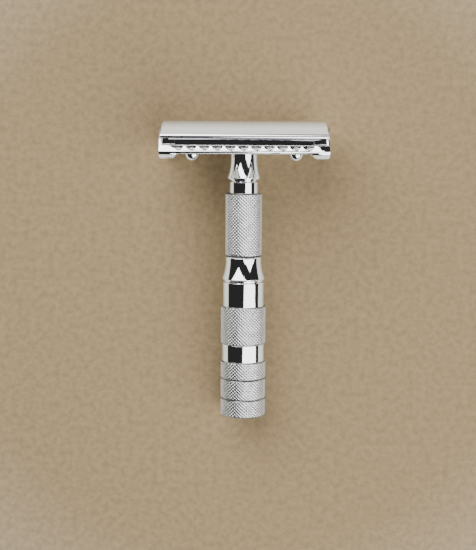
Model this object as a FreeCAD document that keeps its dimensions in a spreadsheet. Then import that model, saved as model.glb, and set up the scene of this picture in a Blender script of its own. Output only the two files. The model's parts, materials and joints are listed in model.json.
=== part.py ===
"""Double-edge safety razor with a three-piece head and a handle that unscrews in the middle.

Every piece is drawn with the razor upright: Z runs up the handle from its foot to the crown of the cap,
X runs along the head, and -Y is the side that faces up once the razor is laid on its back.
The last step lays the whole razor down on the guard's rear bar and the rim of the handle's foot.
Threads are plain cylinders at their outer diameter.
"""

import FreeCAD, Part
import math
import os
import Sketcher
from FreeCAD import Placement, Rotation, Vector

# Driving dimensions in millimetres and degrees. Levels are heights above the foot of the handle.
DIMENSIONS = {
    # handle, from the foot up
    "grip_r": 5.81,  # crest of the wide knurls
    "knob_top": 4.55,
    "ring_top": 9.78,
    "rings_top": 14.28,
    "band_top": 18.89,
    "band_r": 5.56,
    "wide_top": 28.62,
    "foot_bevel": 0.35,
    "ring_bevel": 0.16,
    "seam_bevel": 0.3,  # between the knurled rings at the foot
    "core_r": 4.0,  # the long spigot that carries the rings
    "slip": 0.03,  # radial play of a ring on its spigot
    "collar_r": 5.37,
    "collar_bevel": 0.22,
    "collar_top": 35.0,
    "groove_r": 5.1,
    "groove_top": 35.4,
    "bell_r": 5.64,
    "bell_edge": 35.75,
    "bell_curve": 13.0,
    "waist_r": 4.68,
    "waist": 39.9,
    "core_top_r": 4.74,
    "core_top": 41.4,
    "core_bevel": 0.28,
    "washer_in_r": 2.6,
    "washer_out_r": 4.5,
    "sleeve_foot": 41.7,
    "sleeve_r": 4.71,
    "sleeve_bevel": 0.2,
    "sleeve_crown_bevel": 0.42,
    "sleeve_top": 57.64,
    "spigot_r": 3.0,
    # threads
    "thread_r": 2.45,
    "tapped_r": 2.5,
    "thread_bevel": 0.35,
    "drill_point": 1.3,
    "knob_screw_end": 1.6,
    "knob_hole_end": 1.4,
    "union_screw_end": 34.2,
    "union_hole_end": 33.6,
    "stud_end": 63.8,
    "stud_hole_end": 63.2,
    # neck
    "neck_collar_r": 3.7,
    "neck_collar_top": 60.4,
    "neck_groove_r": 3.36,
    "neck_groove_low": 60.7,
    "neck_groove_top": 61.15,
    "neck_bell_r": 4.35,
    "neck_bell_edge": 61.5,
    "neck_bell_curve": 13.6,
    "neck_waist_r": 3.45,
    "neck_waist": 66.3,
    "neck_rim_r": 3.56,
    "neck_top": 70.0,
    # head
    "arc_centre": 53.26,  # common centre of the blade seat, the bent blade and the cap's inside
    "bend_r": 21.0,
    "blade_thick": 0.1,
    "seat_clear": 0.04,
    "blade_length": 42.9,
    "edge_y": 10.55,
    "hone": 0.32,
    "tab_y": 6.6,
    "tab_length": 2.75,
    "slot_length": 37.2,
    "slot_width": 1.5,
    "blade_hole_r": 2.75,
    "blade_post_hole_r": 2.0,
    "cap_length": 41.7,
    "cap_r": 16.8,
    "cap_edge_y": 10.1,
    "cap_edge_z": 72.75,
    "lip_y": 10.3,
    "lip_r": 0.8,
    "cap_end_round": 0.7,
    "socket_top": 75.5,
    "post_r": 1.75,
    "post_hole_r": 1.85,
    "post_x": 13.2,
    "post_low": 65.7,
    "guard_length": 42.1,
    "guard_hole_r": 2.7,
    "seat_y": 9.6,
    "fence_y": 10.3,
    "fence_z": 71.45,
    "fence_length": 40.6,  # clear length between the end fences
    "wall_top_y": 9.5,
    "wall_foot_y": 9.75,
    "trough_z": 69.95,
    "trough_y": 10.7,
    "lid_z": 75.0,  # height that cutting outlines reach above the guard
    "bar_in_y": 10.95,
    "crest_y": 11.5,
    "crest_z": 70.0,
    "bar_y": 12.25,
    "bar_top_z": 68.5,
    "bar_face_r": 3.0,
    "bar_low_z": 68.45,
    "bar_round": 0.6,
    "bar_foot_y": 11.65,
    "bar_foot_z": 67.85,
    "under_y": 10.9,
    "under_z": 68.0,
    "under_r": 17.0,
    "pit_y": 14.0,  # half width and depth that cutting outlines reach beyond the guard
    "pit_z": 60.0,
    "crease_y": 12.0,
    "crease_z": 68.0,
    "rib_y": 11.95,
    "rib_top_z": 67.8,
    "rib_foot_y": 10.75,
    "rib_low_z": 66.7,
    "rib_face_r": 12.0,
    "rib_under_y": 9.9,
    "rib_space": 33.5,  # clear length between the end ribs
    "rib_round": 1.3,
    "rib_end_round": 0.6,
    "boss_r": 4.7,
    "boss_rise": 3.0,
    "recess_in": 17.2,
    "recess_out": 20.3,
    "recess_y": 8.3,
    "recess_z": 70.25,
    "notch_r": 1.32,
    "notch_reach": 16.1,  # from the middle of the head to the outermost scallop
    "notch_y": 10.6,
    "notch_z": 71.44,
    "notch_tilt": 35.0,
    "notch_depth": 4.0,
    "notch_count": 11,
}

TOUCH = 1e-6  # distance under which two points count as one, in millimetres


def arc_height(y, radius, centre):
    """Height of a circle about a point on the Z axis, at a distance y from it: its top, or its foot for -radius."""
    return centre + math.copysign(math.sqrt(radius * radius - y * y), radius)


def lying_pose(size):
    """Angle, shift along Y and lift that lay the razor on its rear bar and foot rim, centred over the origin.

    The bar's lower edge is an arc, so the lean solves  along * sin(lean) - across * cos(lean) = edge.
    """
    edge = size["bar_round"]
    along = size["bar_low_z"] - size["foot_bevel"]
    across = size["bar_y"] - edge - size["grip_r"]
    lean = math.atan2(across, along) + math.asin(edge / math.hypot(along, across))
    lift = size["grip_r"] * math.cos(lean) - size["foot_bevel"] * math.sin(lean)
    cap_centre = arc_height(size["cap_edge_y"], -size["cap_r"], size["cap_edge_z"])
    far = cap_centre * math.cos(lean) + size["cap_r"]
    near = -(size["grip_r"] - size["foot_bevel"]) * math.sin(lean)
    return math.degrees(lean), -(far + near) / 2, lift


def fill_sheet(doc, size):
    """Spreadsheet with one row for each driving dimension: its name, and its value under that alias."""
    sheet = doc.addObject("Spreadsheet::Sheet", "Dims")
    for row, (name, value) in enumerate(size.items(), start=1):
        sheet.set(f"A{row}", name)
        sheet.set(f"B{row}", f"{value:.6f}")
        sheet.setAlias(f"B{row}", name)
    doc.recompute()
    return sheet


class Cells:
    """Reads sums of cells written as words, such as "grip_r -ring_bevel"; 2*name and name/2 are allowed."""

    def __init__(self, size):
        self.size = size

    def term(self, word):
        sign = "-" if word.startswith("-") else "+"
        name = word.lstrip("-")
        factor = 0.5 if name.endswith("/2") else 1.0
        name = name.removesuffix("/2")
        return sign, name, factor

    def text(self, words):
        """The same sum as a FreeCAD expression."""
        if words == "0":
            return "0 mm"
        parts = [self.term(word) for word in words.split()]
        return " ".join(f"{sign} Dims.{name} * {factor}" for sign, name, factor in parts).lstrip("+ ")

    def value(self, words):
        """The same sum as a number."""
        if words == "0":
            return 0.0
        parts = [self.term(word) for word in words.split()]
        return sum((-1 if sign == "-" else 1) * self.size[name] * factor for sign, name, factor in parts)


def new_body(doc, label):
    body = doc.addObject("PartDesign::Body", label)
    body.Label = label
    return body


def new_sketch(body, plane, name):
    """Empty sketch on one of the body's own origin planes."""
    sketch = body.newObject("Sketcher::SketchObject", name)
    origin_plane = [f for f in body.Origin.OriginFeatures if f.Role == plane][0]
    sketch.AttachmentSupport = [(origin_plane, "")]
    sketch.MapMode = "FlatFace"
    return sketch


def bind(sketch, kind, first, first_point, second, second_point, words, cells):
    """Distance constraint from one point to another, driven by the sheet."""
    name = f"d{sketch.ConstraintCount}"
    constraint = Sketcher.Constraint(kind, first, first_point, second, second_point, cells.value(words))
    index = sketch.addConstraint(constraint)
    sketch.renameConstraint(index, name)
    sketch.setExpression(f"Constraints.{name}", cells.text(words))


def bind_radius(sketch, edge, words, cells):
    name = f"r{sketch.ConstraintCount}"
    index = sketch.addConstraint(Sketcher.Constraint("Radius", edge, cells.value(words)))
    sketch.renameConstraint(index, name)
    sketch.setExpression(f"Constraints.{name}", cells.text(words))


def arc_about(centre, start, end, bulge):
    """Counter-clockwise arc about centre between two points, on the side that the vector bulge points to."""
    first, last = [math.atan2(point.y - centre.y, point.x - centre.x) for point in (start, end)]
    last += 2 * math.pi if last < first else 0.0
    middle = (first + last) / 2
    if bulge.dot(Vector(math.cos(middle), math.sin(middle), 0)) < 0:
        first, last = last, first + 2 * math.pi
    full = Part.Circle(centre, Vector(0, 0, 1), (start - centre).Length)
    return Part.ArcOfCircle(full, first, last)


def arc_between(start, end, radius, side):
    """Arc of that radius through two points. It bulges to the left of the way from start to end where side is 1."""
    chord = end - start
    bulge = Vector(-chord.y, chord.x, 0) / chord.Length * side
    depth = math.sqrt(max(radius * radius - chord.Length**2 / 4, 0.0))
    return arc_about((start + end) / 2 - bulge * depth, start, end, bulge)


def outline(sketch, corners, cells, rounds=None, about_axis=None):
    """Closed outline through the corners, in order.

    rounds gives an edge its radius and the side it bulges to. about_axis gives an edge the height of its
    centre on the vertical axis and its radius; a corner with no height of its own gets it from that arc.
    """
    rounds = rounds or {}
    about_axis = about_axis or {}
    count = len(corners)
    points = []
    for number, (across, up) in enumerate(corners):
        x = cells.value(across)
        if up is None:
            arc = about_axis.get(number) or about_axis[(number - 1) % count]
            y = arc_height(x, cells.value(arc[1]), cells.value(arc[0]))
        else:
            y = cells.value(up)
        points.append(Vector(x, y, 0))
    first_point = []
    for number, start in enumerate(points):
        end = points[(number + 1) % count]
        if number in rounds:
            radius, side = rounds[number]
            shape = arc_between(start, end, cells.value(radius), side)
        elif number in about_axis:
            centre, radius = about_axis[number]
            shape = arc_about(Vector(0, cells.value(centre), 0), start, end, Vector(0, 1, 0))
        else:
            shape = Part.LineSegment(start, end)
        edge = sketch.addGeometry(shape, False)
        stored = sketch.Geometry[edge].StartPoint
        first_point.append(1 if (stored - start).Length < TOUCH else 2)
    for number in range(count):
        after = (number + 1) % count
        sketch.addConstraint(
            Sketcher.Constraint("Coincident", number, 3 - first_point[number], after, first_point[after])
        )
    for number, (across, up) in enumerate(corners):
        bind(sketch, "DistanceX", -1, 1, number, first_point[number], across, cells)
        if up is not None:
            bind(sketch, "DistanceY", -1, 1, number, first_point[number], up, cells)
    for edge, (radius, _side) in rounds.items():
        bind_radius(sketch, edge, radius, cells)
    for edge, (centre, radius) in about_axis.items():
        bind(sketch, "DistanceX", -1, 1, edge, 3, "0", cells)
        bind(sketch, "DistanceY", -1, 1, edge, 3, centre, cells)
        bind_radius(sketch, edge, radius, cells)


def turned(doc, label, corners, cells, rounds=None):
    """Body turned about the Z axis from half of its section, given as radius and height."""
    body = new_body(doc, label)
    sketch = new_sketch(body, "XZ_Plane", f"{label}_section")
    outline(sketch, corners, cells, rounds)
    doc.recompute()
    turn = body.newObject("PartDesign::Revolution", f"{label}_turn")
    turn.Profile = sketch
    turn.ReferenceAxis = (sketch, ["V_Axis"])
    turn.Angle = 360
    doc.recompute()
    return body


def tube(doc, label, hole, outside, low, high, low_bevel, high_bevel, cells):
    """Turned ring with bevelled outer rims."""
    corners = [
        (hole, low),
        (f"{outside} -{low_bevel}", low),
        (outside, f"{low} {low_bevel}"),
        (outside, f"{high} -{high_bevel}"),
        (f"{outside} -{high_bevel}", high),
        (hole, high),
    ]
    return turned(doc, label, corners, cells)


def pad(doc, body, sketch, name, length, cells, both_ways=True):
    feature = body.newObject("PartDesign::Pad", name)
    feature.Profile = sketch
    feature.SideType = "Symmetric" if both_ways else "One side"
    feature.setExpression("Length", cells.text(length))
    doc.recompute()
    return feature


def cut(doc, body, sketch, name, length, cells):
    """Pocket centred on its sketch: of that length, or through everything without one."""
    feature = body.newObject("PartDesign::Pocket", name)
    feature.Profile = sketch
    feature.SideType = "Symmetric"
    if length is None:
        feature.Type = "ThroughAll"
    else:
        feature.setExpression("Length", cells.text(length))
    doc.recompute()
    return feature


def rectangle(sketch, left, right, low, high, cells):
    """Rectangle from four sums of cells. It can follow others in the same sketch."""
    first = sketch.GeometryCount
    xs = [cells.value(words) for words in (left, right)]
    ys = [cells.value(words) for words in (low, high)]
    corners = [Vector(xs[0], ys[0], 0), Vector(xs[1], ys[0], 0), Vector(xs[1], ys[1], 0), Vector(xs[0], ys[1], 0)]
    for number in range(4):
        sketch.addGeometry(Part.LineSegment(corners[number], corners[(number + 1) % 4]), False)
    for number in range(4):
        sketch.addConstraint(Sketcher.Constraint("Coincident", first + number, 2, first + (number + 1) % 4, 1))
    for number in (0, 2):
        sketch.addConstraint(Sketcher.Constraint("Horizontal", first + number))
        sketch.addConstraint(Sketcher.Constraint("Vertical", first + number + 1))
    bind(sketch, "DistanceX", -1, 1, first, 1, left, cells)
    bind(sketch, "DistanceY", -1, 1, first, 1, low, cells)
    bind(sketch, "DistanceX", -1, 1, first + 2, 1, right, cells)
    bind(sketch, "DistanceY", -1, 1, first + 2, 1, high, cells)


def circle(sketch, across, up, radius, cells):
    place = Vector(cells.value(across), cells.value(up), 0)
    edge = sketch.addGeometry(Part.Circle(place, Vector(0, 0, 1), cells.value(radius)), False)
    bind(sketch, "DistanceX", -1, 1, edge, 3, across, cells)
    bind(sketch, "DistanceY", -1, 1, edge, 3, up, cells)
    bind_radius(sketch, edge, radius, cells)


def make_end_knob(doc, cells):
    """Bottom ring of the handle, closed at the foot and tapped from above."""
    corners = [
        ("0", "0"),
        ("grip_r -foot_bevel", "0"),
        ("grip_r", "foot_bevel"),
        ("grip_r", "knob_top -seam_bevel"),
        ("grip_r -seam_bevel", "knob_top"),
        ("tapped_r", "knob_top"),
        ("tapped_r", "knob_hole_end"),
        ("0", "knob_hole_end"),
    ]
    return turned(doc, "end_knob", corners, cells)


def make_rings(doc, cells):
    """The knurled rings and the plain band between them, all threaded on the core's long spigot."""
    stack = [
        ("ring_middle", "grip_r", "knob_top", "ring_top", "seam_bevel", "seam_bevel"),
        ("ring_upper", "grip_r", "ring_top", "rings_top", "seam_bevel", "collar_bevel"),
        ("spacer_band", "band_r", "rings_top", "band_top", "ring_bevel", "ring_bevel"),
        ("lower_sleeve", "grip_r", "band_top", "wide_top", "collar_bevel", "collar_bevel"),
    ]
    return [
        tube(doc, label, "core_r slip", outside, low, high, low_bevel, high_bevel, cells)
        for label, outside, low, high, low_bevel, high_bevel in stack
    ]


def make_lower_core(doc, cells):
    """Bell, groove and collar of the lower handle, with the spigot below and the union's tapped hole above."""
    corners = [
        ("0", "knob_screw_end"),
        ("thread_r -thread_bevel", "knob_screw_end"),
        ("thread_r", "knob_screw_end thread_bevel"),
        ("thread_r", "knob_top"),
        ("core_r", "knob_top"),
        ("core_r", "wide_top"),
        ("collar_r", "wide_top"),
        ("collar_r", "collar_top -collar_bevel"),
        ("groove_r", "collar_top"),
        ("groove_r", "groove_top"),
        ("bell_r -ring_bevel", "groove_top"),
        ("bell_r", "bell_edge"),
        ("waist_r", "waist"),
        ("core_top_r", "core_top -core_bevel"),
        ("core_top_r -core_bevel", "core_top"),
        ("tapped_r", "core_top"),
        ("tapped_r", "union_hole_end"),
        ("0", "union_hole_end -drill_point"),
    ]
    return turned(doc, "lower_core", corners, cells, {11: ("bell_curve", 1)})


def make_union_washer(doc, cells):
    """Flat sealing washer between the two halves of the handle."""
    corners = [
        ("washer_in_r", "core_top"),
        ("washer_out_r", "core_top"),
        ("washer_out_r", "sleeve_foot"),
        ("washer_in_r", "sleeve_foot"),
    ]
    return turned(doc, "union_washer", corners, cells)


def make_upper_sleeve(doc, cells):
    """Knurled barrel of the upper handle."""
    return tube(
        doc,
        "upper_sleeve",
        "spigot_r slip",
        "sleeve_r",
        "sleeve_foot",
        "sleeve_top",
        "sleeve_bevel",
        "sleeve_crown_bevel",
        cells,
    )


def make_neck(doc, cells):
    """Bell, groove and collar under the head. Its spigot fills the sleeve and ends in the union's thread."""
    corners = [
        ("0", "union_screw_end"),
        ("thread_r -thread_bevel", "union_screw_end"),
        ("thread_r", "union_screw_end thread_bevel"),
        ("thread_r", "sleeve_foot"),
        ("spigot_r", "sleeve_foot"),
        ("spigot_r", "sleeve_top"),
        ("neck_collar_r", "sleeve_top"),
        ("neck_collar_r", "neck_collar_top"),
        ("neck_groove_r", "neck_groove_low"),
        ("neck_groove_r", "neck_groove_top"),
        ("neck_bell_r -ring_bevel", "neck_groove_top"),
        ("neck_bell_r", "neck_bell_edge"),
        ("neck_waist_r", "neck_waist"),
        ("neck_rim_r", "neck_top -ring_bevel"),
        ("neck_rim_r -ring_bevel", "neck_top"),
        ("tapped_r", "neck_top"),
        ("tapped_r", "stud_hole_end"),
        ("0", "stud_hole_end -drill_point"),
    ]
    return turned(doc, "neck", corners, cells, {11: ("neck_bell_curve", 1)})


def make_cap_stud(doc, cells):
    """Threaded stud that pulls the cap down on the neck."""
    corners = [
        ("0", "stud_end"),
        ("thread_r -thread_bevel", "stud_end"),
        ("thread_r", "stud_end thread_bevel"),
        ("thread_r", "socket_top"),
        ("0", "socket_top"),
    ]
    return turned(doc, "cap_stud", corners, cells)


def make_post(doc, label, cells):
    """Round locating post with a domed end. It is drawn on the axis, and its placement moves it out."""
    corners = [
        ("0", "post_low"),
        ("post_r", "post_low post_r"),
        ("post_r", "socket_top"),
        ("0", "socket_top"),
    ]
    return turned(doc, label, corners, cells, {0: ("post_r", -1)})


def make_top_cap(doc, cells):
    """Domed cap with a rounded lip along both edges, and blind sockets for the stud and the posts."""
    body = new_body(doc, "top_cap")
    section = new_sketch(body, "YZ_Plane", "cap_section")
    corners = [
        ("cap_edge_y", "cap_edge_z"),
        ("-cap_edge_y", "cap_edge_z"),
        ("-lip_y", None),
        ("lip_y", None),
    ]
    inside = ("arc_centre", "bend_r blade_thick seat_clear")
    rounds = {0: ("cap_r", -1), 1: ("lip_r", -1), 3: ("lip_r", -1)}
    outline(section, corners, cells, rounds, {2: inside})
    doc.recompute()
    shell = pad(doc, body, section, "cap_shell", "cap_length", cells)
    half = cells.value("cap_length/2")
    crown_ends = []
    for number, edge in enumerate(shell.Shape.Edges, start=1):
        box = edge.BoundBox
        at_end = box.XLength < TOUCH and abs(abs(box.XMin) - half) < TOUCH
        if at_end and box.ZMax > cells.value("socket_top"):
            crown_ends.append(f"Edge{number}")
    edge_round = body.newObject("PartDesign::Fillet", "cap_end_round")
    edge_round.Base = (shell, crown_ends)
    edge_round.setExpression("Radius", cells.text("cap_end_round"))
    doc.recompute()
    holes = new_sketch(body, "XY_Plane", "cap_sockets")
    circle(holes, "0", "0", "thread_r", cells)
    circle(holes, "post_x", "0", "post_r", cells)
    circle(holes, "-post_x", "0", "post_r", cells)
    doc.recompute()
    sockets = body.newObject("PartDesign::Pocket", "cap_socket_cut")
    sockets.Profile = holes
    sockets.Reversed = True
    sockets.setExpression("Length", cells.text("socket_top"))
    doc.recompute()
    return body


def make_blade(doc, cells):
    """Double-edge blade as it lies when clamped: bent over the seat, slotted, with narrower end tabs."""
    body = new_body(doc, "blade")
    section = new_sketch(body, "YZ_Plane", "blade_section")
    corners = [
        ("edge_y -hone", None),
        ("-edge_y hone", None),
        ("-edge_y", None),
        ("edge_y", None),
    ]
    outer = ("arc_centre", "bend_r blade_thick")
    inner = ("arc_centre", "bend_r")
    outline(section, corners, cells, None, {0: outer, 2: inner})
    doc.recompute()
    pad(doc, body, section, "blade_strip", "blade_length", cells)
    slot = new_sketch(body, "XY_Plane", "blade_slot")
    rectangle(slot, "-slot_length/2", "slot_length/2", "-slot_width/2", "slot_width/2", cells)
    cut(doc, body, slot, "blade_slot_cut", None, cells)
    middle = new_sketch(body, "XY_Plane", "blade_holes")
    circle(middle, "0", "0", "blade_hole_r", cells)
    circle(middle, "post_x", "0", "blade_post_hole_r", cells)
    circle(middle, "-post_x", "0", "blade_post_hole_r", cells)
    cut(doc, body, middle, "blade_hole_cut", None, cells)
    tabs = new_sketch(body, "XY_Plane", "blade_tabs")
    inside, outside = "blade_length/2 -tab_length", "blade_length/2 tab_length"
    for left, right in ((inside, outside), ("-blade_length/2 -tab_length", "-blade_length/2 tab_length")):
        rectangle(tabs, left, right, "tab_y", "edge_y tab_length", cells)
        rectangle(tabs, left, right, "-edge_y -tab_length", "-tab_y", cells)
    cut(doc, body, tabs, "blade_tab_cut", None, cells)
    return body


def mirrored(corners):
    """The same corners on the other side of the Z axis, in reverse order."""
    return [(" ".join(flip(word) for word in across.split()), up) for across, up in reversed(corners)]


def flip(word):
    return word[1:] if word.startswith("-") else f"-{word}"


def guard_strip(doc, body, cells):
    """Full-length section of the guard: blade seat, bars with fence and rib still running from end to end."""
    half = [
        ("seat_y", None),
        ("fence_y", "fence_z"),
        ("bar_in_y", "crest_z"),
        ("crest_y", "crest_z"),
        ("bar_y", "bar_top_z"),
        ("bar_y", "bar_low_z"),
        ("crease_y", "crease_z"),
        ("rib_y", "rib_top_z"),
        ("rib_foot_y", "rib_low_z"),
        ("rib_under_y", "rib_low_z"),
    ]
    count = len(half)
    rounds = {
        3: ("bar_face_r", 1),
        7: ("rib_face_r", 1),
        count - 1: ("under_r", -1),
        2 * count - 2 - 7: ("rib_face_r", 1),
        2 * count - 2 - 3: ("bar_face_r", 1),
    }
    section = new_sketch(body, "YZ_Plane", "guard_section")
    seat = ("arc_centre", "bend_r -seat_clear")
    outline(section, half + mirrored(half), cells, rounds, {2 * count - 1: seat})
    doc.recompute()
    pad(doc, body, section, "guard_strip", "guard_length", cells)


def guard_hollows(doc, body, cells):
    """Trough behind each bar between the end fences, and the hollow underside between the end ribs."""
    trough = [
        ("wall_top_y", "lid_z"),
        ("wall_foot_y", "trough_z"),
        ("trough_y", "trough_z"),
        ("bar_in_y", "crest_z"),
        ("bar_in_y", "lid_z"),
    ]
    for name, corners in (("trough_front", trough), ("trough_rear", mirrored(trough))):
        sketch = new_sketch(body, "YZ_Plane", name)
        outline(sketch, corners, cells)
        cut(doc, body, sketch, f"{name}_cut", "fence_length", cells)
    under = [
        ("pit_y", "pit_z"),
        ("pit_y", "bar_low_z"),
        ("bar_y", "bar_low_z"),
        ("bar_foot_y", "bar_foot_z"),
        ("under_y", "under_z"),
    ]
    sketch = new_sketch(body, "YZ_Plane", "underside")
    rounds = {2: ("bar_round", 1), 4: ("under_r", -1), 6: ("bar_round", 1)}
    outline(sketch, under + mirrored(under), cells, rounds)
    cut(doc, body, sketch, "underside_cut", "rib_space", cells)


def guard_ends(doc, body, cells):
    """Rounded feet of the four ribs, and the open corners beside the blade's end tabs."""
    ends = [
        ("inner", "rib_space/2", "rib_round", "-", "", -1),
        ("outer", "guard_length/2", "rib_end_round", "", "-", 1),
    ]
    for name, edge, radius, away, towards, bulge in ends:
        corners = [
            (f"{edge} {away}{radius}", "pit_z"),
            (f"{edge} {away}{radius}", f"rib_low_z {radius}"),
            (edge, f"rib_low_z {radius}"),
            (f"{edge} {towards}{radius}", "rib_low_z"),
            (f"{edge} {towards}{radius}", "pit_z"),
        ]
        for side, path, arc in (("left", mirrored(corners), 1), ("right", corners, 2)):
            sketch = new_sketch(body, "XZ_Plane", f"rib_{name}_{side}")
            outline(sketch, path, cells, {arc: (radius, bulge)})
            cut(doc, body, sketch, f"rib_{name}_{side}_cut", None, cells)
    recess = new_sketch(body, "XY_Plane", "tab_recess")
    recess.setExpression("AttachmentOffset.Base.z", "Dims.recess_z")
    for left, right in (("recess_in", "recess_out"), ("-recess_out", "-recess_in")):
        rectangle(recess, left, right, "recess_y", "trough_y", cells)
        rectangle(recess, left, right, "-trough_y", "-recess_y", cells)
    opening = body.newObject("PartDesign::Pocket", "tab_recess_cut")
    opening.Profile = recess
    opening.Reversed = True
    opening.setExpression("Length", cells.text("lid_z -recess_z"))
    doc.recompute()


def guard_scallops(doc, body, cells):
    """Row of round notches slanted outwards and down through each bar."""
    for name, way, outwards in (("front", "", True), ("rear", "-", False)):
        sketch = new_sketch(body, "XZ_Plane", f"scallop_{name}")
        sketch.AttachmentOffset = Placement(Vector(0, 0, 0), Rotation(Vector(1, 0, 0), 1))
        sketch.setExpression("AttachmentOffset.Base.y", "Dims.notch_z")
        sketch.setExpression("AttachmentOffset.Base.z", f"{way}Dims.notch_y")
        sketch.setExpression("AttachmentOffset.Rotation.Angle", f"{way}Dims.notch_tilt")
        circle(sketch, "-notch_reach", "0", "notch_r", cells)
        doc.recompute()
        notch = body.newObject("PartDesign::Pocket", f"scallop_{name}_cut")
        notch.Profile = sketch
        notch.Reversed = outwards
        notch.setExpression("Length", cells.text("notch_depth"))
        doc.recompute()
        row = body.newObject("PartDesign::LinearPattern", f"scallop_{name}_row")
        row.Originals = [notch]
        row.Direction = (sketch, ["H_Axis"])
        row.setExpression("Length", "2 * Dims.notch_reach")
        row.setExpression("Occurrences", "Dims.notch_count")
        body.Tip = row
        doc.recompute()


def make_guard_plate(doc, cells):
    """Base plate: blade seat, scalloped bar along both edges, end ribs, fences and the boss on the neck."""
    body = new_body(doc, "guard_plate")
    guard_strip(doc, body, cells)
    guard_hollows(doc, body, cells)
    guard_ends(doc, body, cells)
    boss = new_sketch(body, "XY_Plane", "boss_ring")
    boss.setExpression("AttachmentOffset.Base.z", "Dims.neck_top")
    circle(boss, "0", "0", "boss_r", cells)
    pad(doc, body, boss, "boss", "boss_rise", cells, both_ways=False)
    holes = new_sketch(body, "XY_Plane", "guard_holes")
    circle(holes, "0", "0", "guard_hole_r", cells)
    circle(holes, "post_x", "0", "post_hole_r", cells)
    circle(holes, "-post_x", "0", "post_hole_r", cells)
    cut(doc, body, holes, "guard_hole_cut", None, cells)
    guard_scallops(doc, body, cells)
    return body


def lay_down(body, cells, aside="0"):
    """Turns a body from upright to lying on its back, and moves it aside along X."""
    body.Placement = Placement(Vector(0, 0, 0), Rotation(Vector(1, 0, 0), 1))
    body.setExpression("Placement.Rotation.Angle", "Dims.lean - 90")
    body.setExpression("Placement.Base.x", cells.text(aside))
    body.setExpression("Placement.Base.y", "Dims.rest_shift")
    body.setExpression("Placement.Base.z", "Dims.rest_lift")


def main():
    size = dict(DIMENSIONS)
    size["lean"], size["rest_shift"], size["rest_lift"] = lying_pose(size)
    doc = FreeCAD.newDocument("safety_razor")
    fill_sheet(doc, size)
    cells = Cells(size)
    bodies = [
        make_end_knob(doc, cells),
        *make_rings(doc, cells),
        make_lower_core(doc, cells),
        make_union_washer(doc, cells),
        make_upper_sleeve(doc, cells),
        make_neck(doc, cells),
        make_cap_stud(doc, cells),
        make_top_cap(doc, cells),
        make_blade(doc, cells),
        make_guard_plate(doc, cells),
    ]
    for body in bodies:
        lay_down(body, cells)
    for label, aside in (("left_post", "-post_x"), ("right_post", "post_x")):
        post = make_post(doc, label, cells)
        lay_down(post, cells, aside)
        bodies.append(post)
    doc.recompute()
    os.makedirs("parts", exist_ok=True)
    for item in doc.Objects:
        if "Invalid" in item.State or "Error" in item.State:
            raise RuntimeError(f"{item.Label} did not build: {item.State}")
    for body in bodies:
        shape = body.Shape
        if shape.isNull() or not shape.isValid() or shape.Volume <= 0:
            raise RuntimeError(f"{body.Label} has no valid solid")
        shape.exportStep(f"parts/{body.Label}.step")
        box = shape.BoundBox
        print(f"{body.Label:14s} {shape.Volume:9.2f} mm3 {len(shape.Solids)} solid, z {box.ZMin:.3f} to {box.ZMax:.3f}")


main()
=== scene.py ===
import json
import math
import bmesh
import bpy
import numpy as np
from mathutils import Matrix, Quaternion, Vector


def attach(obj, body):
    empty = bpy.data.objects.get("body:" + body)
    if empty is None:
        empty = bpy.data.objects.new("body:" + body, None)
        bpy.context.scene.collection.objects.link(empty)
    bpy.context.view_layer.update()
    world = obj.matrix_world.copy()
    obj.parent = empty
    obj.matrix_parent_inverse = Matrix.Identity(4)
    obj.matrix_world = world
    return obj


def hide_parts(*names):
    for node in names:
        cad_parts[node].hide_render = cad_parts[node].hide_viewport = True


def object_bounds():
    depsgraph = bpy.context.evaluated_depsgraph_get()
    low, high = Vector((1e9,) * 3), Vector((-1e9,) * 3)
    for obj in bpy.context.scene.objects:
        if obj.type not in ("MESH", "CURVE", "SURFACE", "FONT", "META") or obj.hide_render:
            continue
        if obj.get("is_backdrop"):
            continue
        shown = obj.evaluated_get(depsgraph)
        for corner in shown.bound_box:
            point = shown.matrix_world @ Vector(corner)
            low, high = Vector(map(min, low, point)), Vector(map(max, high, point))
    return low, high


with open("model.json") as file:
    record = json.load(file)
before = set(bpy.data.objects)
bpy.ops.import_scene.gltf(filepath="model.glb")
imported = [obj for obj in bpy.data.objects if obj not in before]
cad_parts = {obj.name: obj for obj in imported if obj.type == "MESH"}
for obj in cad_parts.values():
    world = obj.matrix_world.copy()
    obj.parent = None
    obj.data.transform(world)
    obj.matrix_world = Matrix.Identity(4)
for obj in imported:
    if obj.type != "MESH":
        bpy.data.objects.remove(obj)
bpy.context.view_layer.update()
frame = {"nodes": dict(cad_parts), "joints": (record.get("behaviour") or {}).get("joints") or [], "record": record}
mm = 0.001
print("frame loaded")

# Pieces are drawn upright in millimetres: x along the head, y towards the floor side, z up the handle from
# its foot. layDown turns that into the frame, where the razor lies on its back.
foot = np.array([m["pos_m"] for m in frame["record"]["mounts"] if m["name"] == "foot_face"][0])
up = np.array([j["axis"] for j in frame["joints"] if j["name"] == "head_turn"][0])
along = np.array([1.0, 0.0, 0.0])
down = np.cross(up, along)


def layDown(points):  # foot + x along + y down + z up
    return foot + (points @ np.array([along, down, up])) * mm


def measured(node):  # lowest and highest level and largest radius of a CAD node, along the handle's axis
    co = np.empty(len(frame["nodes"][node].data.vertices) * 3)
    frame["nodes"][node].data.vertices.foreach_get("co", co)
    away = (co.reshape(-1, 3) - foot) / mm
    level = away @ up
    radius = np.linalg.norm(away - level[:, None] * up, axis=1)
    return level.min(), level.max(), radius.max()


# meshes


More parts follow.
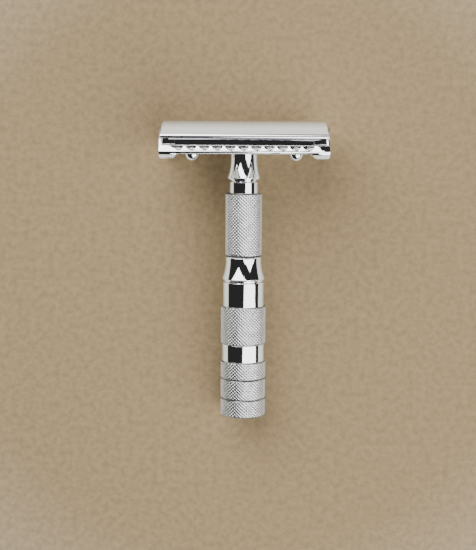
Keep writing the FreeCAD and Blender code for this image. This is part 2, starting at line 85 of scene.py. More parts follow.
def gridQuads(rows, cols, wrapRows, wrapCols):  # four corners of each cell of a grid of vertices
    i = np.arange(rows if wrapRows else rows - 1)[:, None]
    j = np.arange(cols if wrapCols else cols - 1)[None, :]
    iNext, jNext = (i + 1) % rows, (j + 1) % cols
    corners = np.broadcast_arrays(i * cols + j, iNext * cols + j, iNext * cols + jNext, i * cols + jNext)
    return np.stack(corners, -1).reshape(-1, 4)


def crossedTriangles(rows, cols, wrapRows, wrapCols):  # each cell split on the diagonal that joins even corners
    cells = gridQuads(rows, cols, wrapRows, wrapCols)
    i = np.arange(rows if wrapRows else rows - 1)[:, None]
    j = np.arange(cols if wrapCols else cols - 1)[None, :]
    even = ((i + j) % 2 == 0).ravel()
    a, b, c, d = cells.T
    first = np.where(even[:, None], np.stack([a, b, c], 1), np.stack([a, b, d], 1))
    second = np.where(even[:, None], np.stack([a, c, d], 1), np.stack([b, c, d], 1))
    return np.concatenate([first, second])


def insideOut(points, faces):  # true where the volume under the faces' fans of triangles is negative
    volume = 0.0
    for group in faces:
        corner = points[group]
        volume += np.sum(corner[:, :1] * np.cross(corner[:, 1:-1], corner[:, 2:]))
    return volume < 0


def standFor(piece, body, node):  # puts a piece in the scene in place of a CAD node
    bpy.context.scene.collection.objects.link(piece)
    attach(piece, body)
    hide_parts(node)
    return piece


def makePiece(name, points, faces, body, node, material, flat=(), groove=None):
    # faces is a list of arrays of corner numbers; those listed in flat stay flat shaded
    if insideOut(points - points.mean(0), faces):
        faces = [group[:, ::-1] for group in faces]
    mesh = bpy.data.meshes.new(name)
    mesh.from_pydata(layDown(points).tolist(), [], [tuple(face) for group in faces for face in group.tolist()])
    smooth = np.concatenate([np.full(len(group), k not in flat) for k, group in enumerate(faces)])
    mesh.polygons.foreach_set("use_smooth", smooth)
    if groove is not None:
        mesh.attributes.new("groove", "FLOAT", "POINT").data.foreach_set("value", groove.astype(np.float32))
    mesh.materials.append(material)
    return standFor(bpy.data.objects.new(name, mesh), body, node)


def arcPoints(start, end, radius, count):  # inner points of an arc that bulges to the left of start to end
    start, end = np.array(start, float), np.array(end, float)
    chord = end - start
    length = np.hypot(*chord)
    left = np.array([-chord[1], chord[0]]) / length
    centre = (start + end) / 2 - left * math.sqrt(max(radius ** 2 - length ** 2 / 4, 0))
    half = math.asin(min(1, length / 2 / radius))
    turn = np.linspace(-half, half, count + 2)[1:-1, None]
    return centre + radius * (np.cos(turn) * left + np.sin(turn) * chord / length)


softCorner = {
    "steps": 5,
    "share": 0.42,  # most of each side that a corner may use
    "lead": 0.15,  # straight points just outside the arc, as a part of its reach
}


def softPath(path, closed=False):
    # path holds (across, height, softness); each corner becomes an arc of that radius with a short straight lead
    count = len(path)
    out = []
    for k, (x, z, soft) in enumerate(path):
        here = np.array([x, z], float)
        if soft <= 0 or (not closed and k in (0, count - 1)):
            out.append(here[None])
            continue
        before = np.array(path[k - 1][:2], float) - here
        after = np.array(path[(k + 1) % count][:2], float) - here
        lengths = np.hypot(*before), np.hypot(*after)
        before, after = before / lengths[0], after / lengths[1]
        opening = math.acos(np.clip(before @ after, -1, 1))
        reach = min(soft / math.tan(opening / 2), softCorner["share"] * min(lengths))
        radius = reach * math.tan(opening / 2)
        centre = here + (before + after) / np.linalg.norm(before + after) * radius / math.sin(opening / 2)
        first, last = here + before * reach - centre, here + after * reach - centre
        sweep = math.pi - opening
        turn = np.linspace(0, 1, softCorner["steps"] + 1)[:, None]
        bow = (np.sin((1 - turn) * sweep) * first + np.sin(turn * sweep) * last) / math.sin(sweep)
        lead = reach * softCorner["lead"]
        leads = [here + before * (reach + lead)], [here + after * (reach + lead)]
        out.append(np.concatenate([leads[0], centre + bow, leads[1]]))
    return np.concatenate(out)


def turnedPoints(radius, height, around):  # points at (radius cos, radius sin, height), one row for each angle
    angle = np.linspace(0, 2 * math.pi, around, endpoint=False)[:, None]
    radius, height = np.broadcast_arrays(radius, height)
    radius = radius if radius.ndim == 2 else radius[None]
    height = np.broadcast_to(height, (around, height.shape[-1]))
    return np.stack([radius * np.cos(angle), radius * np.sin(angle), height], -1)


def poleFans(ring, cols):  # triangles from the first and last column to the two poles after the grid's vertices
    after, low = np.roll(ring, -1), len(ring) * cols
    return (np.stack([np.full(len(ring), low), after, ring], 1),
            np.stack([np.full(len(ring), low + 1), ring + cols - 1, after + cols - 1], 1))


def turned(name, path, body, node, material, around=160, closed=False, thread=None, aside=0.0):
    # surface of revolution, moved aside along the head; an open path starts and ends at a vertex on the axis
    profile = softPath(path, closed)
    radius, height = profile[:, 0], profile[:, 1]
    if closed:
        points = turnedPoints(radius, height, around)
        faces = [gridQuads(around, len(radius), True, True)]
        return makePiece(name, points.reshape(-1, 3), faces, body, node, material)
    if thread:
        radius, height = threadInto(radius, height, thread, around)
    points = turnedPoints(radius[..., 1:-1], height[1:-1], around)
    cols = points.shape[1]
    poles = np.array([[0, 0, height[0]], [0, 0, height[-1]]])
    ring = np.arange(around) * cols
    faces = [gridQuads(around, cols, True, False), *poleFans(ring, cols)]
    points = np.concatenate([points.reshape(-1, 3), poles]) + [aside, 0, 0]
    return makePiece(name, points, faces, body, node, material)


def threadInto(radius, height, thread, around):
    # adds rows over the threaded stretch; there the radius follows a helix: crest less depth times a V wave of
    # height / pitch - angle / full turn, with flat crests and roots, faded out at the run-out
    low, high = thread["from"], thread["to"]
    rows = np.arange(low, high, thread["pitch"] / thread["rows"])
    keepLow, keepHigh = height < low, height > high
    heightAll = np.concatenate([height[keepLow], rows, height[keepHigh]])
    base = np.concatenate([radius[keepLow], np.interp(rows, height, radius), radius[keepHigh]])
    angle = np.linspace(0, 1, around, endpoint=False)[:, None]
    wave = np.abs(((heightAll[None] / thread["pitch"] - angle) % 1) * 2 - 1)
    cut = np.clip(wave * thread["steep"] - thread["crest"], 0, 1) * thread["depth"]
    fade = np.clip((high - heightAll) / thread["pitch"], 0, 1) * (heightAll >= low)
    return base[None] - cut * fade * (heightAll <= high), heightAll


# materials

def newGroup(name, inputs, outputs):  # shader node group with named float, colour or vector sockets
    group = bpy.data.node_groups.new(name, "ShaderNodeTree")
    for label, kind, value in inputs:
        socket = group.interface.new_socket(label, in_out="INPUT", socket_type="NodeSocket" + kind)
        if value is not None:
            socket.default_value = value
    for label, kind in outputs:
        group.interface.new_socket(label, in_out="OUTPUT", socket_type="NodeSocket" + kind)
    return group, group.nodes.new("NodeGroupInput"), group.nodes.new("NodeGroupOutput")


def addNode(tree, kind, **settings):  # settings named in_X set the socket X
    node = tree.nodes.new("ShaderNode" + kind)
    for key, value in settings.items():
        if key.startswith("in_"):
            node.inputs[int(key[3:]) if key[3:].isdigit() else key[3:]].default_value = value
        else:
            setattr(node, key, value)
    return node


def makeHandled():
    # handled metal: soft smudges lift the roughness, and fine crossing scratches go to the height
    group, given, out = newGroup(
        "handledMetal",
        [("Roughness", "Float", 0.05), ("Smudge", "Float", 0.1), ("Smudge Size", "Float", 160.0),
         ("Scratch Size", "Float", 900.0)],
        [("Roughness", "Float"), ("Height", "Float")],
    )
    link = group.links.new
    place = addNode(group, "TexCoord")
    smudge = addNode(group, "TexNoise", in_Detail=4.0, in_Roughness=0.6)
    link(place.outputs["Object"], smudge.inputs["Vector"])
    link(given.outputs["Smudge Size"], smudge.inputs["Scale"])
    spread = addNode(group, "MapRange", in_1=0.45, in_2=0.75, in_3=0.0, in_4=1.0)
    link(smudge.outputs["Fac"], spread.inputs[0])
    lift = addNode(group, "Math", operation="MULTIPLY_ADD")
    link(spread.outputs[0], lift.inputs[0])
    link(given.outputs["Smudge"], lift.inputs[1])
    link(given.outputs["Roughness"], lift.inputs[2])
    link(lift.outputs[0], out.inputs["Roughness"])
    heights = []
    for turn in (0.5, -0.9):
        lay = addNode(group, "Mapping")
        lay.inputs["Rotation"].default_value = (0.3 * turn, 0.2, turn)
        lay.inputs["Scale"].default_value = (1.0, 0.03, 1.0)
        link(place.outputs["Object"], lay.inputs["Vector"])
        lines = addNode(group, "TexNoise", in_Detail=2.0, in_Roughness=0.5)
        link(lay.outputs[0], lines.inputs["Vector"])
        link(given.outputs["Scratch Size"], lines.inputs["Scale"])
        cut = addNode(group, "MapRange", in_1=0.62, in_2=0.7, in_3=0.0, in_4=1.0)
        link(lines.outputs["Fac"], cut.inputs[0])
        heights.append(cut)
    both = addNode(group, "Math", operation="MAXIMUM")
    link(heights[0].outputs[0], both.inputs[0])
    link(heights[1].outputs[0], both.inputs[1])
    link(both.outputs[0], out.inputs["Height"])
    return group


def makeGrimeAndShade():
    # grime and painted shade: clean colour on the crests, grime-and-shade colour where the groove attribute is deep
    group, given, out = newGroup(
        "grooveGrimeAndShade",
        [("Clean", "Color", (0.8, 0.8, 0.8, 1)), ("Grime And Shade", "Color", (0.1, 0.1, 0.1, 1)), ("Amount", "Float", 0.5),
         ("Roughness", "Float", 0.1)],
        [("Color", "Color"), ("Roughness", "Float")],
    )
    link = group.links.new
    depth = addNode(group, "Attribute", attribute_name="groove")
    place = addNode(group, "TexCoord")
    patches = addNode(group, "TexNoise", in_Scale=700.0, in_Detail=3.0)
    link(place.outputs["Object"], patches.inputs["Vector"])
    uneven = addNode(group, "MapRange", in_1=0.3, in_2=0.7, in_3=0.6, in_4=1.0)
    link(patches.outputs["Fac"], uneven.inputs[0])
    strength = addNode(group, "Math", operation="MULTIPLY")
    link(depth.outputs["Fac"], strength.inputs[0])
    link(uneven.outputs[0], strength.inputs[1])
    share = addNode(group, "Math", operation="MULTIPLY", use_clamp=True)
    link(strength.outputs[0], share.inputs[0])
    link(given.outputs["Amount"], share.inputs[1])
    blend = addNode(group, "Mix", data_type="RGBA")
    link(share.outputs[0], blend.inputs[0])
    link(given.outputs["Clean"], blend.inputs[6])
    link(given.outputs["Grime And Shade"], blend.inputs[7])
    link(blend.outputs[2], out.inputs["Color"])
    rough = addNode(group, "Math", operation="MULTIPLY_ADD", in_1=0.35)
    link(share.outputs[0], rough.inputs[0])
    link(given.outputs["Roughness"], rough.inputs[2])
    link(rough.outputs[0], out.inputs["Roughness"])
    return group


handledMetal = makeHandled()
grooveGrimeAndShade = makeGrimeAndShade()


def makeMetal(name, colour, look, grimeAndShade=None):
    # plated or ground metal: handledMetal drives roughness and a fine bump; grooves, if given, get grime and painted
    # shade
    material = bpy.data.materials.new(name)
    material.use_nodes = True
    tree = material.node_tree
    link = tree.links.new
    shader = tree.nodes["Principled BSDF"]
    shader.inputs["Metallic"].default_value = look.get("metallic", 1.0)
    shader.inputs["Base Color"].default_value = (*colour, 1)
    handled = addNode(tree, "Group", node_tree=handledMetal)
    for label in ("Roughness", "Smudge", "Smudge Size", "Scratch Size"):
        handled.inputs[label].default_value = look[label]
    roughness = handled.outputs["Roughness"]
    if grimeAndShade:
        # groove darkening: grime and painted shade in the knurl's grooves
        grimeAndShadeNode = addNode(tree, "Group", node_tree=grooveGrimeAndShade)
        grimeAndShadeNode.inputs["Clean"].default_value = (*colour, 1)
        grimeAndShadeNode.inputs["Grime And Shade"].default_value = (*grimeAndShade["colour"], 1)
        grimeAndShadeNode.inputs["Amount"].default_value = grimeAndShade["amount"]
        link(roughness, grimeAndShadeNode.inputs["Roughness"])
        link(grimeAndShadeNode.outputs["Color"], shader.inputs["Base Color"])
        roughness = grimeAndShadeNode.outputs["Roughness"]
    link(roughness, shader.inputs["Roughness"])
    bump = addNode(tree, "Bump", in_Strength=look["Bump"], in_Distance=0.00002)
    bump.invert = True
    link(handled.outputs["Height"], bump.inputs["Height"])
    link(bump.outputs["Normal"], shader.inputs["Normal"])
    return material


polished = {"Roughness": 0.035, "Smudge": 0.06, "Smudge Size": 170.0, "Scratch Size": 1600.0, "Bump": 0.12}
knurledLook = {"Roughness": 0.06, "Smudge": 0.08, "Smudge Size": 300.0, "Scratch Size": 2200.0, "Bump": 0.1}
ground = {"Roughness": 0.2, "Smudge": 0.08, "Smudge Size": 200.0, "Scratch Size": 2500.0, "Bump": 0.25}
turnedSteel = {"Roughness": 0.16, "Smudge": 0.1, "Smudge Size": 400.0, "Scratch Size": 3000.0, "Bump": 0.2}
rubber = {"Roughness": 0.6, "Smudge": 0.15, "Smudge Size": 900.0, "Scratch Size": 2500.0, "Bump": 0.3,
          "metallic": 0.0}

chrome = makeMetal("chromePolished", (0.82, 0.82, 0.83), polished)
# knurled chrome: grooves and bevels darkened to near black, as grime and painted shade
knurledChrome = makeMetal("chromeKnurled", (0.93, 0.93, 0.94), knurledLook,
                          {"colour": (0.025, 0.025, 0.03), "amount": 0.95})
bladeSteel = makeMetal("bladeSteel", (0.3, 0.31, 0.33), ground)
studSteel = makeMetal("studSteel", (0.66, 0.66, 0.67), turnedSteel)
washerRubber = makeMetal("washerRubber", (0.012, 0.012, 0.013), rubber)
print("materials ready")


# handle: polished turned parts

handle = {
    "ringBevel": 0.16,
    "collarBevel": 0.22,
    "edge": 0.06,  # softness of the turned edges
    "bevelEdge": 0.08,
    "boreEdge": 0.02,
    "shoulderEdge": 0.12,
    "neckEdge": 0.1,
    "clearance": 0.03,  # between a ring's bore and the spigot in it
    "collar": {"radius": 5.37, "top": 35.0},
    "groove": {"radius": 5.1, "top": 35.4},
    "bell": {"radius": 5.64, "edge": 35.75, "curve": 13.0, "waist": 4.68, "waistAt": 39.9, "topRadius": 4.74},
    "coreBevel": 0.28,
    "spigot": 4.0,
    "screw": {"radius": 2.45, "hole": 2.5, "from": 1.6, "bevel": 0.35},
    "union": {"radius": 2.45, "hole": 2.5, "holeEnd": 33.6, "point": 1.3, "bevel": 0.35},
    "neckCollar": {"radius": 3.7, "top": 60.4},
    "neckGroove": {"radius": 3.36, "low": 60.7, "top": 61.15},
    "neckBell": {"radius": 4.35, "edge": 61.5, "curve": 13.6, "waist": 3.45, "waistAt": 66.3, "rim": 3.56},
    "neckSpigot": 3.0,
    "studHole": {"radius": 2.5, "end": 63.2, "point": 1.3},
    "thread": {"pitch": 0.8, "depth": 0.36, "rows": 12, "steep": 1.35, "crest": 0.15, "margin": 0.02},
}


def bellCurve(bell, count=26):  # from the widest edge up to the waist, hollow outwards
    return arcPoints((bell["radius"], bell["edge"]), (bell["waist"], bell["waistAt"]), bell["curve"], count)


def withSoftness(points):
    return [(x, z, 0) for x, z in points]


def threadOver(low, high):
    margin = handle["thread"]["margin"]
    return {"from": low + margin, "to": high - margin, **handle["thread"]}


def makeLowerCore(h):
    low, top, _ = measured("lower_core")
    shoulder = measured("lower_sleeve")[1]
    knobTop = measured("end_knob")[1]
    c, g, b, e = h["collar"], h["groove"], h["bell"], h["edge"]
    path = [
        (0, low, 0),
        (h["screw"]["radius"] - h["screw"]["bevel"], low, e),
        (h["screw"]["radius"], low + h["screw"]["bevel"], e),
        (h["screw"]["radius"], knobTop, e),
        (h["spigot"], knobTop, e),
        (h["spigot"], shoulder, e),
        (c["radius"], shoulder, e),
        (c["radius"], c["top"] - h["collarBevel"], h["bevelEdge"]),
        (g["radius"], c["top"], e),
        (g["radius"], g["top"], e),
        (b["radius"] - h["ringBevel"], g["top"], h["bevelEdge"]),
        (b["radius"], b["edge"], h["shoulderEdge"]),
        *withSoftness(bellCurve(b)),
        (b["waist"], b["waistAt"], 0),
        (b["topRadius"], top - h["coreBevel"], h["shoulderEdge"]),
        (b["topRadius"] - h["coreBevel"], top, h["bevelEdge"]),
        (h["union"]["hole"], top, e),
        (h["union"]["hole"], h["union"]["holeEnd"], e),
        (0, h["union"]["holeEnd"] - h["union"]["point"], 0),
    ]
    turned("lowerCore", path, "lower_handle", "lower_core", chrome)


def makeSpacerBand(h):
    low, top, radius = measured("spacer_band")
    bore = h["spigot"] + h["clearance"]
    path = [
        (bore, low, h["boreEdge"]),
        (radius - h["ringBevel"], low, h["bevelEdge"]),
        (radius, low + h["ringBevel"], h["bevelEdge"]),
        (radius, top - h["ringBevel"], h["bevelEdge"]),
        (radius - h["ringBevel"], top, h["bevelEdge"]),
        (bore, top, h["boreEdge"]),
    ]
    turned("spacerBand", path, "lower_handle", "spacer_band", chrome, closed=True)


def makeNeck(h):
    low, top, _ = measured("neck")
    sleeveFoot, sleeveTop, _ = measured("upper_sleeve")
    c, g, b, e = h["neckCollar"], h["neckGroove"], h["neckBell"], h["edge"]
    path = [
        (0, low, 0),
        (h["union"]["radius"] - h["union"]["bevel"], low, 0),
        (h["union"]["radius"], low + h["union"]["bevel"], 0),
        (h["union"]["radius"], sleeveFoot, 0),
        (h["neckSpigot"], sleeveFoot, e),
        (h["neckSpigot"], sleeveTop, e),
        (c["radius"], sleeveTop, e),
        (c["radius"], c["top"], h["bevelEdge"]),
        (g["radius"], g["low"], h["bevelEdge"]),
        (g["radius"], g["top"], e),
        (b["radius"] - h["ringBevel"], g["top"], h["bevelEdge"]),
        (b["radius"], b["edge"], h["neckEdge"]),
        *withSoftness(bellCurve(b)),
        (b["waist"], b["waistAt"], 0),
        (b["rim"], top - h["ringBevel"], h["bevelEdge"]),
        (b["rim"] - h["ringBevel"], top, h["bevelEdge"]),
        (h["studHole"]["radius"], top, e),
        (h["studHole"]["radius"], h["studHole"]["end"], e),
        (0, h["studHole"]["end"] - h["studHole"]["point"], 0),
    ]
    turned("handleNeck", path, "upper_handle", "neck", chrome, thread=threadOver(low, sleeveFoot))


def makeWasher(w):
    low, top, radius = measured("union_washer")
    inside, rim = w["boreEdge"], w["rimEdge"]
    path = [(w["bore"], low, inside), (radius, low, rim), (radius, top, rim), (w["bore"], top, inside)]
    turned("unionWasher", path, "union_seal", "union_washer", washerRubber, closed=True)


makeLowerCore(handle)
makeSpacerBand(handle)
makeNeck(handle)
makeWasher({"bore": 2.6, "boreEdge": 0.03, "rimEdge": 0.08})
print("handle turned")


# handle: knurled rings

knurl = {
    "across": 0.985,  # width of one diamond round the ring
    "alongAxis": 0.865,
    "depth": 0.16,
    "grooveShare": 0.38,  # part of the way from groove to groove that each flank takes
    "cells": 8,  # vertices for each diamond, even, so that grooves run along triangle edges
    "bevelRows": 5,
    "margin": 0.02,  # kept clear between the bevels and the knurl's rows
    "grimeAndShadeReach": 0.06,  # depth of a bevel at which its grime and painted shade are full
}


def knurlDepth(turns, rows, k):  # deeper of two crossing families of V grooves, at u + v and u - v whole
    depth = 0
    for wave in (turns + rows, turns - rows):
        nearness = np.abs(wave - np.round(wave))
        depth = np.maximum(depth, np.clip(1 - nearness / k["grooveShare"], 0, 1))
    return depth


def knurled(k, name, node, body, bevels, bore=None, hole=None):
    # barrel whose outside carries the knurl; it fades at the bevels, and closes through a bore or over a foot disc
    low, top, radius = measured(node)
    lowBevel, topBevel = bevels
    count = round(2 * math.pi * radius / k["across"])
    around = count * k["cells"]
    step = k["alongAxis"] / k["cells"]
    middle = np.arange(math.ceil((low + topBevel) / step), (top - topBevel) / step) * step
    middle = middle[(middle > low + lowBevel + k["margin"]) & (middle < top - topBevel - k["margin"])]
    ends = np.linspace(0, 1, k["bevelRows"])
    lowRows, topRows = low + lowBevel * ends, top - topBevel * ends[::-1]
    height = np.concatenate([lowRows, middle, topRows])
    turns = np.linspace(0, count, around, endpoint=False)[:, None]
    cut = knurlDepth(turns, height[None] / k["alongAxis"], k)
    rim = radius - np.maximum(0, np.maximum(low + lowBevel - height, height - top + topBevel))
    outside = np.minimum(radius - k["depth"] * cut, rim[None])
    # depth in a groove or bevel, which sets the grime and painted shade there
    groove = np.maximum((rim[None] - outside) / k["depth"], (radius - rim[None]) / k["grimeAndShadeReach"]).clip(0, 1)
    if bore:
        outside = np.concatenate([outside, np.full((around, 2), bore)], 1)
        height = np.concatenate([height, [top, low]])
        groove = np.concatenate([groove, np.zeros((around, 2))], 1)
        points = turnedPoints(outside, height, around)
        faces = [crossedTriangles(around, len(height), True, True)]
        return makePiece(name, points.reshape(-1, 3), faces, body, node, knurledChrome, groove=groove.ravel())
    # knob: foot disc to a pole below, tapped hole to a pole above
    disc = (radius - lowBevel) * np.array(hole["discRows"])
    outside = np.concatenate([np.tile(disc, (around, 1)), outside, np.full((around, 2), hole["radius"])], 1)
    height = np.concatenate([np.full(len(disc), low), height, [top, hole["end"]]])
    groove = np.concatenate([np.zeros((around, len(disc))), groove, np.zeros((around, 2))], 1)
    points = turnedPoints(outside, height, around).reshape(-1, 3)
    cols = len(height)
    ring = np.arange(around) * cols
    points = np.concatenate([points, [[0, 0, low], [0, 0, hole["end"]]]])
    faces = [crossedTriangles(around, cols, True, False), *poleFans(ring, cols)]
    groove = np.append(groove.ravel(), [0, 0])
    return makePiece(name, points, faces, body, node, knurledChrome, groove=groove)


neckBore = {"bore": handle["neckSpigot"] + handle["clearance"]}
ringBore = {"bore": handle["spigot"] + handle["clearance"]}
knobHole = {"hole": {"radius": 2.5, "end": 1.4, "discRows": (0.2, 0.6, 0.97)}}
knurledRings = [  # name, CAD node, body, lower and upper bevel, and how it closes
    ("upperSleeve", "upper_sleeve", "upper_handle", (0.2, 0.42), neckBore),
    ("lowerSleeve", "lower_sleeve", "lower_handle", (0.22, 0.22), ringBore),
    ("ringUpper", "ring_upper", "lower_handle", (0.3, 0.22), ringBore),
    ("ringMiddle", "ring_middle", "lower_handle", (0.3, 0.3), ringBore),
    ("endKnob", "end_knob", "lower_handle", (0.35, 0.3), knobHole),
]
for name, node, body, bevels, closing in knurledRings:
    knurled(knurl, name, node, body, bevels, **closing)
print("rings knurled")


# head: cap, stud and posts

head = {
    "arcCentre": 53.26,  # height of the middle of the blade's bend
    "bend": 21.0,
    "blade": 0.1,
    "clear": 0.04,
    "cap": {"length": 41.7, "radius": 16.8, "edge": (10.1, 72.75), "lip": 10.3, "lipRadius": 0.8,
            "crownRound": 0.7, "lipRound": 0.14, "fade": 1.6, "steps": 72, "lipSteps": 12, "endRows": 9},
    "studBevel": 0.35,
    "post": {"radius": 1.75, "aside": 13.2, "bevel": 0.1, "around": 64, "domeRows": 14},
}


def arcRow(centre, radius, first, last, count):  # points of an arc given by two angles, both ends kept
    turn = np.linspace(first, last, count)
    return np.stack([centre[0] + radius * np.cos(turn), centre[1] + radius * np.sin(turn)], 1)


def capSection(h):
    # crown arc, rolled lip, hollow arc and the other lip as one closed loop, with the softness of each point's end
    c = h["cap"]
    inner = h["bend"] + h["blade"] + h["clear"]
    edge = np.array(c["edge"])
    crownCentre = np.array([0.0, edge[1] - math.sqrt(c["radius"] ** 2 - edge[0] ** 2)])
    lip = np.array([c["lip"], h["arcCentre"] + math.sqrt(inner ** 2 - c["lip"] ** 2)])
    half = math.atan2(*(edge - crownCentre))
    crown = arcRow(crownCentre, c["radius"], math.pi / 2 - half, math.pi / 2 + half, c["steps"])
    right = arcPoints(edge, lip, c["lipRadius"], c["lipSteps"])[::-1]
    hollow = math.atan2(lip[0], lip[1] - h["arcCentre"])
    under = arcRow((0, h["arcCentre"]), inner, math.pi / 2 + hollow, math.pi / 2 - hollow, c["steps"])
    left = right[::-1] * [-1, 1]
    inland = np.clip((edge[0] - np.abs(crown[:, 0])) / c["fade"], 0, 1)
    soft = c["lipRound"] + (c["crownRound"] - c["lipRound"]) * inland ** 2 * (3 - 2 * inland)
    rims = [np.full(len(row), c["lipRound"]) for row in (left, under, right)]
    return np.concatenate([crown, left, under, right]), np.concatenate([soft, *rims])


def makeCap(h):
    # the section carried along the head; at each end its points move in by soft (1 - cos) while x gains soft sin
    section, soft = capSection(h)
    ahead, behind = np.roll(section, -1, 0), np.roll(section, 1, 0)
    run = ahead - behind
    inward = np.stack([-run[:, 1], run[:, 0]], 1) / np.linalg.norm(run, axis=1)[:, None]
    half = h["cap"]["length"] / 2
    turn = np.linspace(math.pi / 2, 0, h["cap"]["endRows"])[:, None]
    x = half - soft * (1 - np.sin(turn))
    inset = soft * (1 - np.cos(turn))
    rows = np.concatenate([x, np.zeros((1, len(soft))), -x[::-1]])
    insets = np.concatenate([inset, np.zeros((1, len(soft))), inset[::-1]])
    flat = section[None] + inward[None] * insets[..., None]
    points = np.concatenate([rows[..., None], flat], -1)
    count, around = rows.shape
    loop = np.arange(around)[None]
    faces = [gridQuads(count, around, False, True), loop, loop[:, ::-1] + (count - 1) * around]
    return makePiece("topCap", points.reshape(-1, 3), faces, "cap", "top_cap", chrome, flat=(1, 2))


def makeStud(h):
    low, top, radius = measured("cap_stud")
    bevel = h["studBevel"]
    path = [(0, low, 0), (radius - bevel, low, 0), (radius, low + bevel, 0), (radius, top, 0), (0, top, 0)]
    turned("capStud", path, "cap", "cap_stud", studSteel, thread=threadOver(low, top))


def makePost(h, name, node, side):
    low, top, _ = measured(node)
    p = h["post"]
    radius, bevel = p["radius"], p["bevel"]
    dome = arcRow((0, low + radius), radius, -math.pi / 2, 0, p["domeRows"])
    path = [*withSoftness(dome), (radius, top - bevel, 0), (radius - bevel, top, 0), (0, top, 0)]
    turned(name, path, "cap", node, chrome, around=p["around"], aside=side * p["aside"])


softEdges = {
    "corner": 34.0,  # degrees above which an edge is rounded off
    "flat": 0.4,  # degrees below which two faces count as one
    "segments": 2,
    "merge": 0.001,
}


def makeFromSolid(name, node, body, width, material, s):
    # copy of the CAD node: triangles merged, coplanar ones joined to one face, and corners sharper than the limit
    # rounded off by a bevel whose normals keep the flats flat
    mesh = frame["nodes"][node].data.copy()
    mesh.name = name
    shape = bmesh.new()
    shape.from_mesh(mesh)
    bmesh.ops.remove_doubles(shape, verts=shape.verts, dist=s["merge"] * mm)
    bmesh.ops.dissolve_limit(shape, angle_limit=math.radians(s["flat"]), verts=shape.verts, edges=shape.edges)
    shape.to_mesh(mesh)
    shape.free()
    mesh.polygons.foreach_set("use_smooth", np.ones(len(mesh.polygons), bool))
    mesh.materials.clear()
    mesh.materials.append(material)
    piece = bpy.data.objects.new(name, mesh)
    bevel = piece.modifiers.new("softEdges", "BEVEL")
    bevel.width = width * mm
    bevel.segments = s["segments"]
    bevel.limit_method = "ANGLE"
    bevel.angle_limit = math.radians(s["corner"])
    bevel.use_clamp_overlap = False
    bevel.harden_normals = True
    return standFor(piece, body, node)


makeCap(head)
makeStud(head)
makePost(head, "leftPost", "left_post", -1)
makePost(head, "rightPost", "right_post", 1)
makeFromSolid("guardPlate", "guard_plate", "guard", 0.06, chrome, softEdges)
makeFromSolid("razorBlade", "blade", "blade", 0.02, bladeSteel, softEdges)
print("head made")


# floor, lights and camera

paperLook = {
    "near": {"colour": (0.262, 0.186, 0.094), "reach": 75.0},
    "far": {"colour": (0.62, 0.56, 0.46), "reach": 260.0},  # the sheet pales away from the razor
    "paintedSheen": {"colour": (0.74, 0.73, 0.66), "from": 0.08, "to": 0.55},  # painted sheen: paler colour where the sheet is seen along its surface
    "mottle": {"scale": 620.0, "dark": 0.84, "light": 1.12},
    "roughness": 0.9,
    "halfWidth": 3000.0,
}


def makePaper(s):
    # colour goes from near to far with the distance from the razor, then to a painted sheen with the slant of the
    # view, and is multiplied by a fine mottle
    half = s["halfWidth"] * mm
    mesh = bpy.data.meshes.new("paperSheet")
    corners = [(-half, -half, 0), (half, -half, 0), (half, half, 0), (-half, half, 0)]
    mesh.from_pydata(corners, [], [(0, 1, 2, 3)])
    paper = bpy.data.objects.new("paperSheet", mesh)
    bpy.context.scene.collection.objects.link(paper)
    paper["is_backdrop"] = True
    material = bpy.data.materials.new("paper")
    material.use_nodes = True
    mesh.materials.append(material)
    tree = material.node_tree
    link = tree.links.new
    shader = tree.nodes["Principled BSDF"]
    shader.inputs["Roughness"].default_value = s["roughness"]
    place = addNode(tree, "TexCoord")
    mottle = s["mottle"]
    fibres = addNode(tree, "TexNoise", in_Scale=mottle["scale"], in_Detail=5.0, in_Roughness=0.6)
    link(place.outputs["Object"], fibres.inputs["Vector"])
    tint = addNode(tree, "MapRange", in_1=0.35, in_2=0.65, in_3=mottle["dark"], in_4=mottle["light"])
    link(fibres.outputs["Fac"], tint.inputs[0])
    away = addNode(tree, "VectorMath", operation="LENGTH")
    link(place.outputs["Object"], away.inputs[0])
    near, far, paintedSheen = s["near"], s["far"], s["paintedSheen"]
    outwards = addNode(tree, "MapRange", in_1=near["reach"] * mm, in_2=far["reach"] * mm, in_3=0.0, in_4=1.0)
    link(away.outputs["Value"], outwards.inputs[0])
    paling = addNode(tree, "Mix", data_type="VECTOR")
    paling.inputs[4].default_value, paling.inputs[5].default_value = near["colour"], far["colour"]
    link(outwards.outputs[0], paling.inputs[0])
    # painted sheen: the colour pales as the view slants along the sheet
    slant = addNode(tree, "LayerWeight", in_Blend=0.5)
    along = addNode(tree, "MapRange", in_1=paintedSheen["from"], in_2=paintedSheen["to"], in_3=0.0, in_4=1.0)
    link(slant.outputs["Facing"], along.inputs[0])
    sheen = addNode(tree, "Mix", data_type="VECTOR")
    sheen.inputs[5].default_value = paintedSheen["colour"]
    link(along.outputs[0], sheen.inputs[0])
    link(paling.outputs[1], sheen.inputs[4])
    mottled = addNode(tree, "VectorMath", operation="SCALE")
    link(sheen.outputs[1], mottled.inputs[0])
    link(tint.outputs[0], mottled.inputs["Scale"])
    link(mottled.outputs[0], shader.inputs["Base Color"])


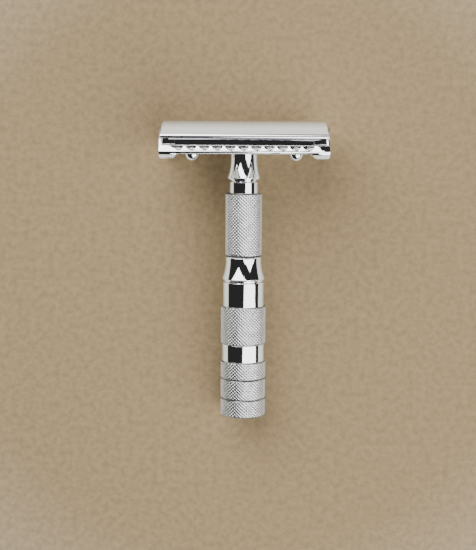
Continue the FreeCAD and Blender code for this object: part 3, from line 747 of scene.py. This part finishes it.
studio = {
    "world": 0.03,
    # aim as degrees to the right and towards the head, distance and side in millimetres, power in watts
    "boxes": [
        {"name": "rightBox", "right": 38.0, "head": -32.0, "away": 520.0, "side": 610.0, "watts": 5.3},
        {"name": "headBox", "right": -30.0, "head": 44.0, "away": 620.0, "side": 680.0, "watts": 7.8},
    ],
    "turn": 45.0,
}


def makeLights(s):
    world = bpy.data.worlds.new("studio")
    world.use_nodes = True
    world.node_tree.nodes["Background"].inputs[0].default_value = (s["world"],) * 3 + (1,)
    bpy.context.scene.world = world
    middle = np.array(sum(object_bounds(), Vector())) / 2
    for box in s["boxes"]:
        lamp = bpy.data.lights.new(box["name"], "AREA")
        lamp.shape = "SQUARE"
        lamp.size = box["side"] * mm
        lamp.energy = box["watts"]
        holder = bpy.data.objects.new(box["name"], lamp)
        aim = np.array([math.tan(math.radians(box["right"])), math.tan(math.radians(box["head"])), 1.0])
        aim /= np.linalg.norm(aim)
        holder.location = tuple(middle + aim * box["away"] * mm)
        aside = np.cross([0.0, 1.0, 0.0], aim)
        aside /= np.linalg.norm(aside)
        facing = Matrix(np.array([aside, np.cross(aim, aside), aim]).T.tolist()).to_quaternion()
        holder.rotation_mode = "QUATERNION"
        holder.rotation_quaternion = facing @ Quaternion((0, 0, 1), math.radians(s["turn"]))
        bpy.context.scene.collection.objects.link(holder)


# the camera stands a little towards the head from the point it looks at
lookDown = {"height": 347.0, "aimFromFoot": 36.5, "towardsHead": 12.0, "left": 1.46, "lens": 86.0, "roll": 0.3}


def makeCamera(c):
    low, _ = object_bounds()
    camera = bpy.data.objects.new("camera", bpy.data.cameras.new("camera"))
    camera.data.sensor_width = 36.0
    camera.data.lens = c["lens"]
    camera.data.clip_start, camera.data.clip_end = 0.01, 10
    camera.location = (-c["left"] * mm, low.y + (c["aimFromFoot"] + c["towardsHead"]) * mm, c["height"] * mm)
    camera.rotation_euler = (-math.atan2(c["towardsHead"], c["height"]), 0, math.radians(c["roll"]))
    bpy.context.scene.collection.objects.link(camera)
    bpy.context.scene.camera = camera


makePaper(paperLook)
makeLights(studio)
makeCamera(lookDown)
print("stage set")
